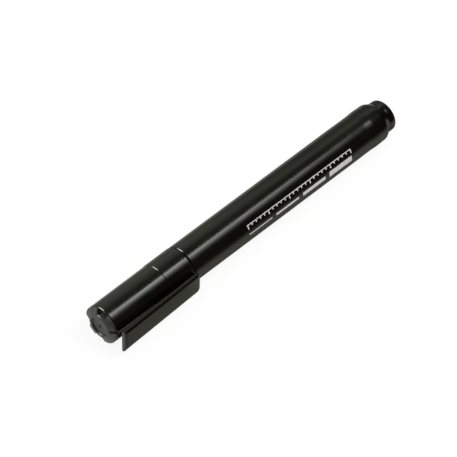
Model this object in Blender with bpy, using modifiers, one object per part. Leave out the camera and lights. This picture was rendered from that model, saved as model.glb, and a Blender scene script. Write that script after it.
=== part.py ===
"""Pull-cap alcohol marker with a moulded pocket clip.

The pen lies along X with the closed end of its cap at -X and its tail at +X. The clip points to -Y.
Turned pieces are drawn as profiles of (along, radius) pairs. "Along" runs from the cap's end to the tail.
"""

import math

import bmesh
import bpy
from mathutils import Matrix, Vector

MM = 0.001

# Facets round a turned piece, one of them facing straight down, and steps in a quarter of a rounded edge.
# An edge rounded less than the chamfer limit is drawn as one flat facet.
ROUND_STEPS = 48
INNER_ROUND_STEPS = 32
CORNER_STEPS = 3
CHAMFER_LIMIT = 0.26 * MM
FINE_ROUND = 0.12 * MM
SMALL_ROUND = 0.2 * MM
EDGE_ROUND = 0.3 * MM
SOFT_ROUND = 0.5 * MM

# Clearance between pieces, and how far a cutter runs past the face that it opens
GAP = 0.3 * MM
PAST_FACE = 1.0 * MM

# Overall lengths, measured from the crest of the ring on the cap's closed end
TOTAL_LENGTH = 138.0 * MM
CROWN_EDGE = 0.95 * MM
CAP_RIM = 1.7 * MM
COLLAR_START = 26.8 * MM
COLLAR_STEP_LENGTH = 0.15 * MM
CAP_MOUTH = 38.2 * MM
BARREL_FRONT = CAP_MOUTH + GAP
SWELL_START = 125.2 * MM
SWELL_PEAK = 126.6 * MM
SHOULDER_START = 132.2 * MM
SHOULDER_FOOT = 134.5 * MM
SHOULDER_END = 135.1 * MM

# Outside radii
TUBE_RADIUS = 7.19 * MM
TUBE_RIM_RADIUS = 7.1 * MM
COLLAR_RADIUS = 7.32 * MM
BARREL_RADIUS = 7.2 * MM
BARREL_SWELL_RADIUS = 7.27 * MM
BARREL_END_RADIUS = 7.17 * MM
STUB_RADIUS = 5.94 * MM
CROWN_RADIUS = 7.06 * MM
SHOULDER_ROUND = 2.2 * MM
SHOULDER_FOOT_ROUND = 0.8 * MM

# Cap: its bore takes the front section's neck, with a groove for the snap bead and a lead-in at the mouth
CAP_BORE = 6.0 * MM
SNAP_GROOVE_DEPTH = 0.25 * MM
SNAP_GROOVE_LENGTH = 1.6 * MM
BORE_SLOPE_LENGTH = 0.5 * MM
LEAD_IN_RADIUS = 6.45 * MM
LEAD_IN_LENGTH = 1.8 * MM

# Crown plug that closes the cap, with its sloped rim, recessed disc, gate dimple and two pairs of vent
# notches. The notches' middles are in degrees round the pen from the clip's side towards the top.
RING_OUTER = 4.3 * MM
RING_INNER = 3.7 * MM
RECESS_FLOOR = 0.55 * MM
DIMPLE_RADIUS = 0.8 * MM
DIMPLE_DEPTH = 0.4 * MM
CROWN_ROUND = 0.2 * MM
PLUG_SPIGOT_LENGTH = 2.6 * MM
VENT_TURNS = (19, 86, 199, 266)
VENT_SPAN = math.radians(38)
VENT_FLOOR_RADIUS = 5.5 * MM

# Inner cap, the soft cup that seals on the front section
SEAL_WALL = 0.7 * MM
SEAL_BASE = 0.8 * MM
SEAL_DRAFT = 0.15 * MM
SEAL_MOUTH_FLARE = 0.2 * MM
SEAL_MOUTH_FLARE_LENGTH = 0.8 * MM
SEAL_ROUND = 0.6 * MM
SEAL_RIB_COUNT = 4
SEAL_RIB_WIDTH = 1.2 * MM
SEAL_RIB_INSET = 1.0 * MM
SEAL_RIB_SETBACK = 2.0 * MM

# Clip: a plate on a short root that stands on the collar beside the mouth. It leans away from the cap
# and grows wider towards its free end.
CLIP_WIDTH_AT_FREE_END = 8.86 * MM
CLIP_WIDTH_AT_ROOT_END = 7.98 * MM
CLIP_THICKNESS = 1.45 * MM
CLIP_FREE_END = 1.5 * MM
CLIP_ROOT_END = 38.1 * MM
CLIP_HINGE = 35.2 * MM
CLIP_OUTER_AT_FREE_END = 10.96 * MM
CLIP_OUTER_AT_ROOT_END = 9.77 * MM
CLIP_FREE_CORNER = 0.3 * MM
CLIP_ROOT_CORNER = 1.7 * MM
CLIP_EDGE_ROUND = 0.4 * MM
CLIP_ROOT_DEPTH = 4.4 * MM

# Front section that carries the nib and takes the cap
NECK_RADIUS = CAP_BORE - 0.35 * MM
SNAP_BEAD_HEIGHT = 0.2 * MM
SNAP_BEAD_REACH = 0.5 * MM
SNAP_BEAD_ROUND = 0.4 * MM
SNAP_BEAD_AT = 31.0 * MM
FLANGE_RADIUS = LEAD_IN_RADIUS - 0.4 * MM
FLANGE_THICKNESS = 1.0 * MM
NECK_START = 26.0 * MM
NECK_SLOPE_LENGTH = 0.6 * MM
NECK_STEP_HEIGHT = 0.25 * MM
NECK_STEP_LENGTH = 0.4 * MM
SEAL_LAND_START = 21.6 * MM
SEAL_LAND_RADIUS = 4.6 * MM
SEAL_LAND_ROUND = 0.8 * MM
NOSE_START = 15.8 * MM
NOSE_RADIUS = 3.1 * MM
SECTION_END = 52.5 * MM
SECTION_WALL = 1.0 * MM
SECTION_DRAFT = 0.1 * MM
FUNNEL_START = 40.5 * MM
FUNNEL_END = 43.5 * MM
NIB_BORE = 2.6 * MM
VENT_SLOT_COUNT = 4
VENT_SLOT_WIDTH = 0.7 * MM
VENT_SLOT_DEPTH = 0.35 * MM
VENT_SLOT_LENGTH = 6.0 * MM

# Barrel bore, with ribs that hold the reservoir clear of the wall
BARREL_BORE = 5.75 * MM
BARREL_RIB_COUNT = 6
BARREL_RIB_WIDTH = 0.9 * MM
BARREL_RIB_RADIUS = 5.35 * MM
TAIL_BORE = 4.5 * MM
TAIL_BORE_START = 127.4 * MM
TAIL_BORE_SLOPE_LENGTH = 1.2 * MM
BARREL_RIB_INSET = 2.0 * MM
RIB_ROOT = 0.5 * MM

# Nib, reservoir and tail plug
NIB_RADIUS = 2.3 * MM
NIB_TIP = 10.3 * MM
NIB_TIP_FLAT = 0.95 * MM
NIB_TIP_ROUND = 0.7 * MM
NIB_SHOULDER = 13.6 * MM
NIB_SHOULDER_ROUND = 2.5 * MM
NIB_TAIL_RADIUS = 1.4 * MM
NIB_END = 59.0 * MM
RESERVOIR_RADIUS = 4.55 * MM
RESERVOIR_START = 52.9 * MM
RESERVOIR_END = 126.4 * MM
WRAP_THICKNESS = 0.2 * MM
WRAP_INSET = 0.5 * MM
TAIL_ROUND = 1.25 * MM
TAIL_PLUG_WALL = 0.9 * MM
TAIL_PLUG_FLOOR = 2.1 * MM
TAIL_PLUG_DRAFT = 0.3 * MM

# The pen's axis above the surface that it lies on, and beside the middle of its outline
AXIS_HEIGHT = COLLAR_RADIUS * math.cos(math.pi / ROUND_STEPS)
AXIS_OFFSET = (CLIP_OUTER_AT_FREE_END - AXIS_HEIGHT) / 2

PLASTIC_BLACK = (0.006, 0.006, 0.006, 1)
SATIN_BLACK = (0.012, 0.012, 0.012, 1)
NATURAL_WHITE = (0.72, 0.72, 0.68, 1)
INK_FELT = (0.015, 0.014, 0.016, 1)
FIBRE_CREAM = (0.62, 0.6, 0.54, 1)
FILM_CLEAR = (0.8, 0.82, 0.83, 1)


def clear_scene():
    for obj in list(bpy.data.objects):
        bpy.data.objects.remove(obj, do_unlink=True)


def new_collection(name):
    collection = bpy.data.collections.new(name)
    bpy.context.scene.collection.children.link(collection)
    return collection


def plastic(name, color, roughness):
    material = bpy.data.materials.new(name)
    material.use_nodes = True
    shader = material.node_tree.nodes["Principled BSDF"]
    shader.inputs["Base Color"].default_value = color
    shader.inputs["Roughness"].default_value = roughness
    shader.inputs["Metallic"].default_value = 0
    return material


def rounded(corners, closed):
    """The outline through (along, radius, rounding) corners, with each rounding drawn as an arc."""
    points = []
    count = len(corners)
    for index, (along, radius, rounding) in enumerate(corners):
        corner = Vector((along, radius))
        at_end = not closed and index in (0, count - 1)
        if rounding == 0 or at_end:
            points.append(corner)
            continue
        before = (Vector(corners[index - 1][:2]) - corner).normalized()
        after = (Vector(corners[(index + 1) % count][:2]) - corner).normalized()
        opening = before.angle(after)
        middle = corner + (before + after).normalized() * rounding / math.sin(opening / 2)
        reach = rounding / math.tan(opening / 2)
        start = corner + before * reach - middle
        turn = start.angle_signed(corner + after * reach - middle)
        steps = max(1, round(CORNER_STEPS * abs(turn) / (math.pi / 2)))
        if rounding < CHAMFER_LIMIT:
            steps = 1
        for step in range(steps + 1):
            points.append(middle + Matrix.Rotation(-turn * step / steps, 2) @ start)
    return points


def turned(name, corners, closed, collection, frame, steps=ROUND_STEPS):
    """A profile spun about the pen's axis. It starts at the tail end and runs along its outside first."""
    points = rounded(corners, closed)
    edges = [(i, i + 1) for i in range(len(points) - 1)]
    if closed:
        edges.append((len(points) - 1, 0))
    mesh = bpy.data.meshes.new(name)
    mesh.from_pydata([(p.y, 0, p.x) for p in points], edges, [])
    obj = bpy.data.objects.new(name, mesh)
    collection.objects.link(obj)
    obj.parent = frame
    obj.rotation_euler.z = math.pi / steps
    spin = obj.modifiers.new("Spin", "SCREW")
    spin.axis = "Z"
    spin.steps = spin.render_steps = steps
    spin.use_merge_vertices = True
    spin.merge_threshold = 0.00001
    return obj


def block(name, low, high, turn, collection, frame):
    """A box between two corners in the frame of the pen's axis, turned about that axis."""
    mesh = bpy.data.meshes.new(name)
    shape = bmesh.new()
    bmesh.ops.create_cube(shape, size=1)
    low, high = Vector(low), Vector(high)
    bmesh.ops.scale(shape, vec=high - low, verts=shape.verts)
    bmesh.ops.translate(shape, vec=(low + high) / 2, verts=shape.verts)
    shape.to_mesh(mesh)
    shape.free()
    obj = bpy.data.objects.new(name, mesh)
    collection.objects.link(obj)
    obj.parent = frame
    obj.rotation_euler.z = turn
    return obj


def wedge(name, inner, outer, start, end, span, turn, collection, frame):
    """A sector of a ring between two places along the pen.

    Its middle is turned from the clip's side towards the top.
    """
    sides = [span * (step / CORNER_STEPS - 0.5) for step in range(CORNER_STEPS + 1)]
    rim = [(inner * math.sin(a), -inner * math.cos(a), start) for a in sides]
    rim += [(outer * math.sin(a), -outer * math.cos(a), start) for a in reversed(sides)]
    mesh = bpy.data.meshes.new(name)
    shape = bmesh.new()
    foot = shape.faces.new([shape.verts.new(point) for point in rim])
    raised = bmesh.ops.extrude_face_region(shape, geom=[foot])
    top = [item for item in raised["geom"] if isinstance(item, bmesh.types.BMVert)]
    bmesh.ops.translate(shape, vec=(0, 0, end - start), verts=top)
    bmesh.ops.recalc_face_normals(shape, faces=shape.faces)
    shape.to_mesh(mesh)
    shape.free()
    obj = bpy.data.objects.new(name, mesh)
    collection.objects.link(obj)
    obj.parent = frame
    obj.rotation_euler.z = -turn
    return obj


def combine(obj, helper, operation):
    """A Boolean with a helper shape, which is kept as a wire guide."""
    helper.hide_render = True
    helper.display_type = "WIRE"
    boolean = obj.modifiers.new(f"{operation.title()} {helper.name}", "BOOLEAN")
    boolean.operation = operation
    boolean.solver = "EXACT"
    boolean.object = helper


def finish(obj, material):
    """Applies the modifiers and shades the round faces smooth between sharp edges."""
    bpy.context.view_layer.update()
    graph = bpy.context.evaluated_depsgraph_get()
    mesh = bpy.data.meshes.new_from_object(obj.evaluated_get(graph))
    mesh.name = obj.name
    mesh.shade_smooth()
    mesh.set_sharp_from_angle(angle=math.radians(35))
    obj.modifiers.clear()
    obj.data = mesh
    mesh.materials.clear()
    mesh.materials.append(material)


def barrel(parts, helpers, frame, material):
    body = turned(
        "barrel",
        [
            (SHOULDER_END, STUB_RADIUS, SMALL_ROUND),
            (SHOULDER_FOOT, STUB_RADIUS, SHOULDER_FOOT_ROUND),
            (SHOULDER_START, BARREL_END_RADIUS, SHOULDER_ROUND),
            (SWELL_PEAK, BARREL_SWELL_RADIUS, 0),
            (SWELL_START, BARREL_RADIUS, 0),
            (BARREL_FRONT, BARREL_RADIUS, EDGE_ROUND),
            (BARREL_FRONT, BARREL_BORE, SMALL_ROUND),
            (TAIL_BORE_START, BARREL_BORE, SOFT_ROUND),
            (TAIL_BORE_START + TAIL_BORE_SLOPE_LENGTH, TAIL_BORE, 0),
            (SHOULDER_END, TAIL_BORE, 0),
        ],
        True,
        parts,
        frame,
    )
    for index in range(BARREL_RIB_COUNT):
        rib = block(
            f"barrel_rib_{index + 1}",
            (BARREL_RIB_RADIUS, -BARREL_RIB_WIDTH / 2, SECTION_END + BARREL_RIB_INSET),
            (BARREL_BORE + RIB_ROOT, BARREL_RIB_WIDTH / 2, TAIL_BORE_START - BARREL_RIB_INSET),
            2 * math.pi * index / BARREL_RIB_COUNT,
            helpers,
            frame,
        )
        combine(body, rib, "UNION")
    finish(body, material)


def tail_plug(parts, frame, material):
    spigot_radius = TAIL_BORE - GAP
    hollow_radius = spigot_radius - TAIL_PLUG_WALL
    head_start = SHOULDER_END + GAP
    spigot_end = RESERVOIR_END + GAP
    plug = turned(
        "tail_plug",
        [
            (TOTAL_LENGTH, 0, 0),
            (TOTAL_LENGTH, STUB_RADIUS, TAIL_ROUND),
            (head_start, STUB_RADIUS, FINE_ROUND),
            (head_start, spigot_radius, 0),
            (spigot_end, spigot_radius, SOFT_ROUND),
            (spigot_end, hollow_radius, 0),
            (TOTAL_LENGTH - TAIL_PLUG_FLOOR, hollow_radius - TAIL_PLUG_DRAFT, SOFT_ROUND),
            (TOTAL_LENGTH - TAIL_PLUG_FLOOR, 0, 0),
        ],
        False,
        parts,
        frame,
    )
    finish(plug, material)


def front_section(parts, helpers, frame, material):
    spigot_radius = BARREL_BORE - GAP
    flange_back = BARREL_FRONT - GAP
    flange_front = flange_back - FLANGE_THICKNESS
    section = turned(
        "front_section",
        [
            (SECTION_END, spigot_radius, SOFT_ROUND),
            (flange_back, spigot_radius, 0),
            (flange_back, FLANGE_RADIUS, FINE_ROUND),
            (flange_front, FLANGE_RADIUS, SMALL_ROUND),
            (flange_front, NECK_RADIUS, 0),
            (SNAP_BEAD_AT + SNAP_BEAD_REACH, NECK_RADIUS, 0),
            (SNAP_BEAD_AT, NECK_RADIUS + SNAP_BEAD_HEIGHT, SNAP_BEAD_ROUND),
            (SNAP_BEAD_AT - SNAP_BEAD_REACH, NECK_RADIUS, 0),
            (NECK_START + NECK_SLOPE_LENGTH, NECK_RADIUS, SOFT_ROUND),
            (NECK_START, SEAL_LAND_RADIUS + NECK_STEP_HEIGHT, SMALL_ROUND),
            (NECK_START - NECK_STEP_LENGTH, SEAL_LAND_RADIUS, 0),
            (SEAL_LAND_START, SEAL_LAND_RADIUS, SEAL_LAND_ROUND),
            (NOSE_START, NOSE_RADIUS, EDGE_ROUND),
            (NOSE_START, NIB_BORE, 0),
            (FUNNEL_START, NIB_BORE, 0),
            (FUNNEL_END, spigot_radius - SECTION_WALL - SECTION_DRAFT, SOFT_ROUND),
            (SECTION_END, spigot_radius - SECTION_WALL, 0),
        ],
        True,
        parts,
        frame,
        INNER_ROUND_STEPS,
    )
    for index in range(VENT_SLOT_COUNT):
        slot = block(
            f"nib_vent_{index + 1}",
            (NIB_BORE - RIB_ROOT, -VENT_SLOT_WIDTH / 2, NOSE_START - PAST_FACE),
            (NIB_BORE + VENT_SLOT_DEPTH, VENT_SLOT_WIDTH / 2, NOSE_START + VENT_SLOT_LENGTH),
            2 * math.pi * (index + 0.5) / VENT_SLOT_COUNT,
            helpers,
            frame,
        )
        combine(section, slot, "DIFFERENCE")
    finish(section, material)


def nib(parts, frame, material):
    tip = turned(
        "nib",
        [
            (NIB_END, 0, 0),
            (NIB_END, NIB_TAIL_RADIUS, EDGE_ROUND),
            (SECTION_END, NIB_RADIUS, 0),
            (NIB_SHOULDER, NIB_RADIUS, NIB_SHOULDER_ROUND),
            (NIB_TIP, NIB_TIP_FLAT, NIB_TIP_ROUND),
            (NIB_TIP, 0, 0),
        ],
        False,
        parts,
        frame,
        INNER_ROUND_STEPS,
    )
    finish(tip, material)


def ink_reservoir(parts, frame, material):
    socket_end = NIB_END + GAP
    core = turned(
        "ink_reservoir",
        [
            (RESERVOIR_END, 0, 0),
            (RESERVOIR_END, RESERVOIR_RADIUS, SMALL_ROUND),
            (RESERVOIR_START, RESERVOIR_RADIUS, SMALL_ROUND),
            (RESERVOIR_START, NIB_RADIUS + GAP, 0),
            (socket_end, NIB_TAIL_RADIUS + GAP, 0),
            (socket_end, 0, 0),
        ],
        False,
        parts,
        frame,
        INNER_ROUND_STEPS,
    )
    finish(core, material)


def reservoir_wrap(parts, frame, material):
    inner = RESERVOIR_RADIUS + GAP
    start = RESERVOIR_START + WRAP_INSET
    end = RESERVOIR_END - WRAP_INSET
    sleeve = turned(
        "reservoir_wrap",
        [
            (end, inner + WRAP_THICKNESS, 0),
            (start, inner + WRAP_THICKNESS, 0),
            (start, inner, 0),
            (end, inner, 0),
        ],
        True,
        parts,
        frame,
        INNER_ROUND_STEPS,
    )
    finish(sleeve, material)


def clip_outline(name, depth, collection, frame):
    """The clip's plate in plan, with its outer face at the top and the given depth below it.

    It is drawn about the hinge line, then leaned so that it stands further off towards its free end.
    """
    length = CLIP_ROOT_END - CLIP_FREE_END
    lean = math.atan2(CLIP_OUTER_AT_FREE_END - CLIP_OUTER_AT_ROOT_END, length)
    outer_at_hinge = CLIP_OUTER_AT_ROOT_END + (CLIP_ROOT_END - CLIP_HINGE) * math.tan(lean)
    middle = length / 2 - (CLIP_HINGE - CLIP_FREE_END)
    shape = bmesh.new()
    bmesh.ops.create_cube(shape, size=1)
    bmesh.ops.scale(shape, vec=(1, depth, length), verts=shape.verts)
    bmesh.ops.translate(shape, vec=(0, depth / 2, middle), verts=shape.verts)
    for corner in shape.verts:
        corner.co.x *= CLIP_WIDTH_AT_ROOT_END if corner.co.z > 0 else CLIP_WIDTH_AT_FREE_END
    for corner, at_root in ((CLIP_FREE_CORNER, False), (CLIP_ROOT_CORNER, True)):
        upright = [
            edge
            for edge in shape.edges
            if abs(edge.verts[0].co.y - edge.verts[1].co.y) > depth / 2
            and (edge.verts[0].co.z > 0) == at_root
            and len({abs(v.co.x) for v in edge.verts}) == 1
        ]
        bmesh.ops.bevel(
            shape, geom=upright, offset=corner, segments=CORNER_STEPS, profile=0.5, affect="EDGES"
        )
    mesh = bpy.data.meshes.new(name)
    shape.to_mesh(mesh)
    shape.free()
    obj = bpy.data.objects.new(name, mesh)
    collection.objects.link(obj)
    obj.parent = frame
    obj.location = (0, -outer_at_hinge, CLIP_HINGE)
    obj.rotation_euler.x = -lean
    return obj


def keep_side(obj, towards_tail):
    """Cuts a clip plate across its hinge line, leaving half the gap between the two sides."""
    side = 1 if towards_tail else -1
    shape = bmesh.new()
    shape.from_mesh(obj.data)
    cut = bmesh.ops.bisect_plane(
        shape,
        geom=shape.verts[:] + shape.edges[:] + shape.faces[:],
        plane_co=(0, 0, side * GAP / 2),
        plane_no=(0, 0, side),
        clear_inner=True,
    )
    rim = [item for item in cut["geom_cut"] if isinstance(item, bmesh.types.BMEdge)]
    bmesh.ops.contextual_create(shape, geom=rim)
    bmesh.ops.recalc_face_normals(shape, faces=shape.faces)
    shape.to_mesh(obj.data)
    shape.free()


def round_edges(obj):
    bevel = obj.modifiers.new("Rounded edges", "BEVEL")
    bevel.width = CLIP_EDGE_ROUND
    bevel.segments = 2
    bevel.limit_method = "ANGLE"
    bevel.angle_limit = math.radians(40)


def clip_blade(parts, frame, material):
    blade = clip_outline("clip_blade", CLIP_THICKNESS, parts, frame)
    keep_side(blade, False)
    round_edges(blade)
    finish(blade, material)


def cap_shell(parts, helpers, frame, material):
    shell = turned(
        "cap_shell",
        [
            (CAP_MOUTH, 0, 0),
            (CAP_MOUTH, COLLAR_RADIUS, EDGE_ROUND),
            (COLLAR_START + COLLAR_STEP_LENGTH, COLLAR_RADIUS, FINE_ROUND),
            (COLLAR_START, TUBE_RADIUS, 0),
            (CAP_RIM, TUBE_RIM_RADIUS, EDGE_ROUND),
            (CAP_RIM, 0, 0),
        ],
        False,
        parts,
        frame,
    )
    root = clip_outline("clip_root", CLIP_ROOT_DEPTH, helpers, frame)
    keep_side(root, True)
    round_edges(root)
    combine(shell, root, "UNION")
    groove_low = SNAP_BEAD_AT - SNAP_GROOVE_LENGTH / 2
    groove_high = SNAP_BEAD_AT + SNAP_GROOVE_LENGTH / 2
    bore = turned(
        "cap_bore",
        [
            (CAP_MOUTH + PAST_FACE, 0, 0),
            (CAP_MOUTH + PAST_FACE, LEAD_IN_RADIUS, 0),
            (CAP_MOUTH - LEAD_IN_LENGTH + BORE_SLOPE_LENGTH, LEAD_IN_RADIUS, 0),
            (CAP_MOUTH - LEAD_IN_LENGTH, CAP_BORE, 0),
            (groove_high, CAP_BORE, 0),
            (groove_high - BORE_SLOPE_LENGTH, CAP_BORE + SNAP_GROOVE_DEPTH, 0),
            (groove_low + BORE_SLOPE_LENGTH, CAP_BORE + SNAP_GROOVE_DEPTH, 0),
            (groove_low, CAP_BORE, 0),
            (CAP_RIM - PAST_FACE, CAP_BORE, 0),
            (CAP_RIM - PAST_FACE, 0, 0),
        ],
        False,
        helpers,
        frame,
    )
    combine(shell, bore, "DIFFERENCE")
    finish(shell, material)


def cap_end_plug(parts, helpers, frame, material):
    head_back = CAP_RIM - GAP
    spigot_end = head_back + PLUG_SPIGOT_LENGTH
    spigot_radius = CAP_BORE - GAP
    plug = turned(
        "cap_end_plug",
        [
            (spigot_end, 0, 0),
            (spigot_end, spigot_radius, SOFT_ROUND),
            (head_back, spigot_radius, 0),
            (head_back, CROWN_RADIUS, FINE_ROUND),
            (CROWN_EDGE, CROWN_RADIUS, CROWN_ROUND),
            (0, RING_OUTER, SOFT_ROUND),
            (0, RING_INNER, FINE_ROUND),
            (RECESS_FLOOR, RING_INNER, FINE_ROUND),
            (RECESS_FLOOR, DIMPLE_RADIUS, 0),
            (RECESS_FLOOR + DIMPLE_DEPTH, DIMPLE_RADIUS / 2, 0),
            (RECESS_FLOOR + DIMPLE_DEPTH, 0, 0),
        ],
        False,
        parts,
        frame,
    )
    for index, turn in enumerate(VENT_TURNS):
        notch = wedge(
            f"vent_notch_{index + 1}",
            VENT_FLOOR_RADIUS,
            CROWN_RADIUS + PAST_FACE,
            -PAST_FACE,
            spigot_end + PAST_FACE,
            VENT_SPAN,
            math.radians(turn),
            helpers,
            frame,
        )
        combine(plug, notch, "DIFFERENCE")
    finish(plug, material)


def inner_cap(parts, helpers, frame, material):
    base = CAP_RIM + PLUG_SPIGOT_LENGTH
    mouth = NECK_START - NECK_STEP_LENGTH
    bore = SEAL_LAND_RADIUS + GAP
    outer = bore + SEAL_WALL
    rib_radius = CAP_BORE - GAP
    cup = turned(
        "inner_cap",
        [
            (mouth, bore + SEAL_MOUTH_FLARE, 0),
            (mouth, outer, SMALL_ROUND),
            (base, outer, SEAL_ROUND),
            (base, 0, 0),
            (base + SEAL_BASE, 0, 0),
            (base + SEAL_BASE, bore - SEAL_DRAFT, SEAL_ROUND),
            (SEAL_LAND_START, bore, 0),
            (mouth - SEAL_MOUTH_FLARE_LENGTH, bore, 0),
        ],
        True,
        parts,
        frame,
        INNER_ROUND_STEPS,
    )
    for index in range(SEAL_RIB_COUNT):
        rib = block(
            f"seal_rib_{index + 1}",
            (-SEAL_RIB_WIDTH / 2, -rib_radius, base + SEAL_RIB_INSET),
            (SEAL_RIB_WIDTH / 2, -outer + RIB_ROOT, mouth - SEAL_RIB_SETBACK),
            2 * math.pi * (index + 0.5) / SEAL_RIB_COUNT,
            helpers,
            frame,
        )
        combine(cup, rib, "UNION")
    finish(cup, material)


def main():
    clear_scene()
    parts = new_collection("alcohol_marker")
    helpers = new_collection("cutters_and_guides")
    frame = bpy.data.objects.new("pen_axis", None)
    parts.objects.link(frame)
    frame.location = (-TOTAL_LENGTH / 2, AXIS_OFFSET, AXIS_HEIGHT)
    frame.rotation_euler.y = math.pi / 2

    gloss = plastic("gloss_black_plastic", PLASTIC_BLACK, 0.12)
    satin = plastic("satin_black_plastic", SATIN_BLACK, 0.4)
    natural = plastic("natural_polyethylene", NATURAL_WHITE, 0.5)
    felt = plastic("inked_felt", INK_FELT, 0.9)
    fibre = plastic("reservoir_fibre", FIBRE_CREAM, 0.95)
    film = plastic("clear_film", FILM_CLEAR, 0.15)

    barrel(parts, helpers, frame, gloss)
    tail_plug(parts, frame, gloss)
    front_section(parts, helpers, frame, satin)
    nib(parts, frame, felt)
    ink_reservoir(parts, frame, fibre)
    reservoir_wrap(parts, frame, film)
    cap_shell(parts, helpers, frame, gloss)
    clip_blade(parts, frame, gloss)
    cap_end_plug(parts, helpers, frame, satin)
    inner_cap(parts, helpers, frame, natural)


main()
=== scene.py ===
import math

import bmesh
import bpy
from mathutils import Matrix, Vector


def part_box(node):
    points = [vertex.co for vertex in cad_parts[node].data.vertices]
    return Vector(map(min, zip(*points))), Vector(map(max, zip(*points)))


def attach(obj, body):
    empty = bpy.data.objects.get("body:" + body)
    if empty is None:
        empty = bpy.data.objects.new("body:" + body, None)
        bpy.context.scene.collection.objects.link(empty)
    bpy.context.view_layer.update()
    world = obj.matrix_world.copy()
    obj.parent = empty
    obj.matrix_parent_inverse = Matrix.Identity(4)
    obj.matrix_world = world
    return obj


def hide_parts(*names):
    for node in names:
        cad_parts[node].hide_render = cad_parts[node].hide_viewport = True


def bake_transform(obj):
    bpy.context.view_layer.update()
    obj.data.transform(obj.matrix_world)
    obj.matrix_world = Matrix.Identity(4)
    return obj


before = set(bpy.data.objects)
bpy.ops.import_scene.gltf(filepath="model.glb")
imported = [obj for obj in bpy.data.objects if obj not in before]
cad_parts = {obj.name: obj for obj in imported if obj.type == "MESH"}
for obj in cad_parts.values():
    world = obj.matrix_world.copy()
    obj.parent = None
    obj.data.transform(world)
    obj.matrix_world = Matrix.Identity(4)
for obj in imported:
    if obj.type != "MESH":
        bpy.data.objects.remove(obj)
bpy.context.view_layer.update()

MM = 0.001

# The pen's axis runs along X. "Along" is measured from the crest of the ring on the cap's closed end.
barrel_low, barrel_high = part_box("barrel")
AXIS_Y = (barrel_low[1] + barrel_high[1]) / 2
AXIS_Z = (barrel_low[2] + barrel_high[2]) / 2
CAP_END_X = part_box("cap_end_plug")[0][0]

# Steps round a turned piece, in a quarter of a rounded corner, over a rounded edge and across a vent's cutter
TURN_STEPS = 192
CORNER_STEPS = 7
CORNER_LEAST_STEPS = 2
EDGE_STEPS = 3
SECTOR_STEPS = 10

# How near points are welded, the sharpest turn that is shaded smooth, and the least share of a face's normal
# that counts as facing one way
WELD = 0.002 * MM
SMOOTH_ANGLE = math.radians(24)
FACING = 0.9

# The gap between pieces, and how far a cutter runs past the face that it opens
GAP = 0.3 * MM
PAST_FACE = 1.0 * MM

# Roundings, sloped edges and the tail's seam
FINE_ROUND = 0.1 * MM
SMALL_ROUND = 0.2 * MM
EDGE_ROUND = 0.3 * MM
SOFT_ROUND = 0.5 * MM
MOUTH_ROUND = 0.45 * MM
RIM_SLOPE_LENGTH = 0.32 * MM
RIM_SLOPE_DROP = 0.16 * MM
FRONT_SLOPE_LENGTH = 0.3 * MM
FRONT_SLOPE_DROP = 0.15 * MM
TAIL_SEAM = 0.06 * MM

# Places along the pen
TOTAL_LENGTH = 138.0 * MM
CROWN_EDGE = 0.95 * MM
CAP_RIM = 1.7 * MM
COLLAR_START = 26.8 * MM
COLLAR_STEP_LENGTH = 0.26 * MM
COLLAR_STEP_ROUND = 0.02 * MM
CAP_MOUTH = 38.2 * MM
BARREL_FRONT = CAP_MOUTH + GAP
WAIST_START = 117.6 * MM
WAIST = 124.2 * MM
SWELL_PEAK = 127.3 * MM
SHOULDER_START = 132.2 * MM
SHOULDER_FOOT = 134.5 * MM
SHOULDER_END = 135.1 * MM

# Outside radii, and the roundings between them
TUBE_RADIUS = 7.19 * MM
TUBE_RIM_RADIUS = 7.1 * MM
COLLAR_RADIUS = 7.32 * MM
BARREL_RADIUS = 7.2 * MM
BARREL_WAIST_RADIUS = 7.14 * MM
BARREL_SWELL_RADIUS = 7.3 * MM
BARREL_END_RADIUS = 7.17 * MM
STUB_RADIUS = 5.94 * MM
CROWN_RADIUS = 7.06 * MM
SWELL_ROUND = 14.0 * MM
SHOULDER_ROUND = 2.2 * MM
SHOULDER_FOOT_ROUND = 0.8 * MM
TAIL_ROUND = 1.25 * MM

# Inside of the cap
CAP_BORE = 6.0 * MM
SNAP_GROOVE_DEPTH = 0.25 * MM
SNAP_GROOVE_LENGTH = 1.6 * MM
BORE_SLOPE_LENGTH = 0.5 * MM
LEAD_IN_RADIUS = 6.45 * MM
LEAD_IN_LENGTH = 1.8 * MM

# Crown plug in the cap's closed end. Its vents are given as turn from the clip's side and width, in degrees.
# Their floor slopes down where it meets the end's face.
RING_OUTER = 4.3 * MM
RING_ROUND = 1.5 * MM
RING_INNER = 3.7 * MM
RECESS_FLOOR = 0.55 * MM
RECESS_DRAFT = 0.2 * MM
DIMPLE_RADIUS = 0.8 * MM
DIMPLE_DEPTH = 0.4 * MM
CROWN_ROUND = 0.2 * MM
CROWN_SEAM = 0.04 * MM
PLUG_SPIGOT_LENGTH = 2.6 * MM
VENTS = ((13, 9), (86, 38), (199, 38), (266, 38))
VENT_FLOOR_RADIUS = 4.95 * MM
VENT_LEAD_LENGTH = 0.55 * MM
VENT_LEAD_SLOPE = 0.51
VENT_EDGE_ROUND = 0.14 * MM
VENT_EDGE_ANGLE = math.radians(50)

# Seal cup inside the cap
SEAL_WALL = 0.7 * MM
SEAL_BASE = 0.8 * MM
SEAL_DRAFT = 0.15 * MM
SEAL_MOUTH_FLARE = 0.2 * MM
SEAL_MOUTH_FLARE_LENGTH = 0.8 * MM
SEAL_ROUND = 0.6 * MM
SEAL_RIB_COUNT = 4
SEAL_RIB_WIDTH = 1.2 * MM
SEAL_RIB_INSET = 1.0 * MM
SEAL_RIB_SETBACK = 2.0 * MM

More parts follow.
